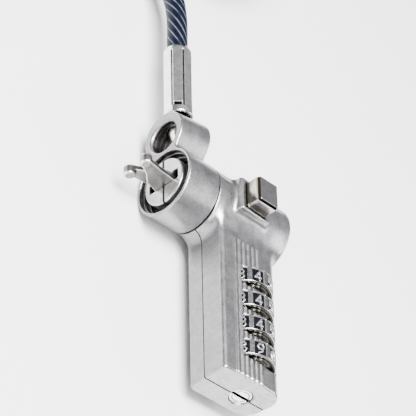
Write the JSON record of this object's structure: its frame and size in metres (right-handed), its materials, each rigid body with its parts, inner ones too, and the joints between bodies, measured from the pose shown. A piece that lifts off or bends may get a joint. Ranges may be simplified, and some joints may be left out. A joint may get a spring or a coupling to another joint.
{
  "type": "laptop cable lock",
  "caption": "Combination laptop cable lock: dial head with push button, a T bar that opens inside a security slot, a swivel collar and a steel cable with an end loop.",
  "frame": {"origin": "centre of the nose face, on the barrel axis, where the T bar leaves the head", "axes": "-Y is the way the T bar goes into a security slot, +X runs down the handle, +Z leaves the dial face"},
  "size_m": [0.2193, 0.0611, 0.0301],
  "materials": {
    "satin_nickel": "satin nickel plate over a zinc die casting",
    "bright_nickel": "bright polished nickel plate",
    "satin_steel": "tumbled stainless steel",
    "steel": "plain steel",
    "brass": "machined brass",
    "dial_black": "plated dial with black filled panels and bright figures",
    "cable_coating": "clear grey-blue vinyl over a laid steel cable",
    "strap": "woven hook and loop strap"
  },
  "bodies": {
    "head": {"shell_front": "satin_nickel", "shell_back": "satin_nickel", "snap_ring": "steel", "pivot_pin": "steel", "driver_spring": "steel", "button_spring": "steel", "spindle_spring": "steel", "detent_balls": "steel", "detent_springs": "steel", "case_pins": "steel"},
    "collar": {"collar": "satin_nickel"},
    "cable": {"swivel_pin": "bright_nickel", "ferrule": "bright_nickel", "cable_lead": "cable_coating", "cable_coil": "cable_coating", "cable_loop": "cable_coating", "loop_sleeve": "bright_nickel", "cable_tie": "strap"},
    "bar_a": {"bar_a": "satin_steel"},
    "bar_b": {"bar_b": "satin_steel"},
    "driver": {"driver": "brass", "drive_pin": "steel"},
    "button": {"button": "bright_nickel"},
    "spindle": {"spindle": "steel"},
    "reset_screw": {"reset_screw": "bright_nickel"},
    "dial_1": {"dial_1": "dial_black", "sleeve_1": "brass"},
    "dial_2": {"dial_2": "dial_black", "sleeve_2": "brass"},
    "dial_3": {"dial_3": "dial_black", "sleeve_3": "brass"},
    "dial_4": {"dial_4": "dial_black", "sleeve_4": "brass"}
  },
  "joints": [
    {"name": "collar_swivel", "type": "hinge", "parent": "head", "child": "collar", "pos_m": [0, 0, 0], "axis": [0, 1, 0], "continuous": true},
    {"name": "cable_swivel", "type": "hinge", "parent": "collar", "child": "cable", "pos_m": [-0.0236, 0.0056, 0], "axis": [1, 0, 0], "continuous": true},
    {"name": "button_press", "type": "slide", "parent": "head", "child": "button", "axis": [0, 0, -1], "range_m": [0, 0.003], "stiffness_N_per_m": 300, "deforming": ["button_spring"]},
    {"name": "driver_slide", "type": "slide", "parent": "head", "child": "driver", "axis": [0, 1, 0], "range_m": [0, 0.003]},
    {"name": "spindle_slide", "type": "slide", "parent": "head", "child": "spindle", "axis": [1, 0, 0], "range_m": [0, 0.0015]},
    {"name": "bar_a_swing", "type": "hinge", "parent": "head", "child": "bar_a", "pos_m": [0, 0.0045, 0], "axis": [1, 0, 0], "range_deg": [0, 6]},
    {"name": "bar_b_swing", "type": "hinge", "parent": "head", "child": "bar_b", "pos_m": [0, 0.0045, 0], "axis": [-1, 0, 0], "range_deg": [0, 6]},
    {"name": "dial_1_turn", "type": "hinge", "parent": "head", "child": "dial_1", "pos_m": [0.0224, 0.025, 0.0024], "axis": [1, 0, 0], "continuous": true},
    {"name": "dial_2_turn", "type": "hinge", "parent": "head", "child": "dial_2", "pos_m": [0.0297, 0.025, 0.0024], "axis": [1, 0, 0], "continuous": true},
    {"name": "dial_3_turn", "type": "hinge", "parent": "head", "child": "dial_3", "pos_m": [0.037, 0.025, 0.0024], "axis": [1, 0, 0], "continuous": true},
    {"name": "dial_4_turn", "type": "hinge", "parent": "head", "child": "dial_4", "pos_m": [0.0443, 0.025, 0.0024], "axis": [1, 0, 0], "continuous": true},
    {"name": "reset_turn", "type": "hinge", "parent": "head", "child": "reset_screw", "pos_m": [0.053, 0.0255, 0], "axis": [1, 0, 0], "range_deg": [0, 90]}
  ],
  "couplings": [
    {"joint": "driver_slide", "follows": "button_press", "ratio": 1},
    {"joint": "spindle_slide", "follows": "button_press", "ratio": 0.5},
    {"joint": "bar_a_swing", "follows": "button_press", "rad_per_m": 34.9},
    {"joint": "bar_b_swing", "follows": "button_press", "rad_per_m": 34.9}
  ]
}
